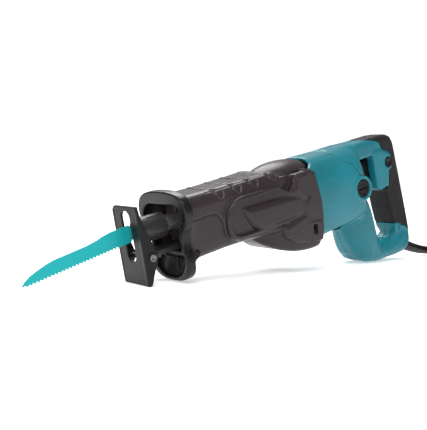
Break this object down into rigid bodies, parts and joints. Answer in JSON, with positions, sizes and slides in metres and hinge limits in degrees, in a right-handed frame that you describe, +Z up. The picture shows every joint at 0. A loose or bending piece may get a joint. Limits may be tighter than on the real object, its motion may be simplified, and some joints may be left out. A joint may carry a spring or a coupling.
{
  "type": "reciprocating saw",
  "caption": "Corded reciprocating saw with a D-handle, tilting slotted shoe, keyless blade clamp, bevel-gear crank drive, two-lobed guard boot and a coiled mains cord.",
  "frame": {"origin": "on the bench, under the middle of the saw's box without its cord", "axes": "+X back towards the handle, +Y to the saw's right side, +Z up; the saw stands nose down on its shoe and handle, with its stroke axis 12 degrees from level"},
  "size_m": [0.7648, 0.159, 0.176],
  "materials": {
    "boot_plastic": "satin, dark warm grey",
    "shell_teal": "satin teal moulded plastic",
    "grip_rubber": "fine grained black elastomer",
    "black_plastic": "satin black",
    "cast_aluminium": "as cast",
    "dark_steel": "black oxide, satin",
    "bright_steel": "ground",
    "fastener_steel": "zinc plated",
    "spring_steel": "drawn wire",
    "laminations": "stacked sheet steel",
    "blade_paint": "satin teal paint",
    "bronze": "sintered",
    "copper": "enamelled wire",
    "carbon": "pressed carbon",
    "seal_rubber": "matt",
    "cord_rubber": "satin black sheath",
    "plug_brass": "stamped"
  },
  "bodies": {
    "housing": {"insulation_boot": "boot_plastic", "gear_housing": "cast_aluminium", "gear_cover": "cast_aluminium", "gear_cover_screws": "fastener_steel", "slider_front_bush": "bronze", "slider_rear_bush": "bronze", "slider_seal": "seal_rubber", "crank_lower_bearing": "bright_steel", "crank_upper_bush": "bronze", "crank_bearing_cap": "fastener_steel", "front_bearing": "bright_steel", "rear_bearing": "bright_steel", "air_baffle": "black_plastic", "motor_housing": "shell_teal", "housing_bolts": "fastener_steel", "stator_core": "laminations", "field_coils": "copper", "brush_holders": "bronze", "carbon_brushes": "carbon", "brush_springs": "spring_steel", "brush_cap_left": "black_plastic", "brush_cap_right": "black_plastic", "handle_left_shell": "shell_teal", "handle_right_shell": "shell_teal", "grip_overmould": "grip_rubber", "handle_screws": "fastener_steel", "switch_body": "black_plastic", "trigger_pin": "bright_steel", "cord_clamp": "black_plastic", "cord_guard": "cord_rubber", "power_cord_lead": "cord_rubber", "cord_coil": "cord_rubber", "power_cord_tail": "cord_rubber", "coil_tie": "cord_rubber", "plug_body": "cord_rubber", "plug_pins": "plug_brass"},
    "slider": {"slider": "bright_steel", "blade": "blade_paint", "clamp_pin": "bright_steel", "clamp_spring": "spring_steel"},
    "clamp_sleeve": {"clamp_sleeve": "dark_steel"},
    "crank": {"crank_shaft": "bright_steel", "crank_gear": "bright_steel", "crank_pin": "bright_steel", "crank_roller": "bright_steel"},
    "armature": {"armature_shaft": "bright_steel", "armature_core": "laminations", "armature_winding": "copper", "commutator": "copper", "cooling_fan": "black_plastic", "drive_pinion": "bright_steel"},
    "shoe_holder": {"shoe_holder": "dark_steel", "shoe_pin": "bright_steel"},
    "shoe": {"shoe": "dark_steel"},
    "shoe_lock": {"shoe_lock_button": "black_plastic"},
    "trigger": {"trigger": "black_plastic"},
    "lock_button": {"lock_button": "black_plastic"}
  },
  "joints": [
    {"name": "stroke", "type": "slide", "parent": "housing", "child": "slider", "axis": [0.9781, 0, 0.2079], "range_m": [0, 0.028]},
    {"name": "sleeve_turn", "type": "hinge", "parent": "slider", "child": "clamp_sleeve", "pos_m": [-0.14651, 0, 0.06152], "axis": [0.9781, 0, 0.2079], "range_deg": [0, 75], "stiffness_Nm_per_rad": 0.05},
    {"name": "crank_spin", "type": "hinge", "parent": "housing", "child": "crank", "pos_m": [0.06538, 0, 0.05544], "axis": [-0.2079, 0, 0.9781], "continuous": true},
    {"name": "armature_spin", "type": "hinge", "parent": "housing", "child": "armature", "pos_m": [0.12412, 0, 0.09655], "axis": [0.9781, 0, 0.2079], "continuous": true},
    {"name": "shoe_extend", "type": "slide", "parent": "housing", "child": "shoe_holder", "axis": [-0.9781, 0, -0.2079], "range_m": [0, 0.03]},
    {"name": "shoe_tilt", "type": "hinge", "parent": "shoe_holder", "child": "shoe", "pos_m": [-0.15786, 0, 0.0312], "axis": [0, 1, 0], "range_deg": [-35, 10]},
    {"name": "shoe_lock_press", "type": "slide", "parent": "housing", "child": "shoe_lock", "axis": [0, 1, 0], "range_m": [0, 0.004]},
    {"name": "trigger_pull", "type": "hinge", "parent": "housing", "child": "trigger", "pos_m": [0.20392, 0, 0.13958], "axis": [0, -1, 0], "range_deg": [0, 8], "stiffness_Nm_per_rad": 1, "springref_deg": -2.86},
    {"name": "lock_press", "type": "slide", "parent": "housing", "child": "lock_button", "axis": [0, 1, 0], "range_m": [0, 0.003], "stiffness_N_per_m": 400, "springref_m": -0.0005}
  ],
  "couplings": [
    {"joint": "crank_spin", "follows": "armature_spin", "ratio": 0.24324}
  ]
}
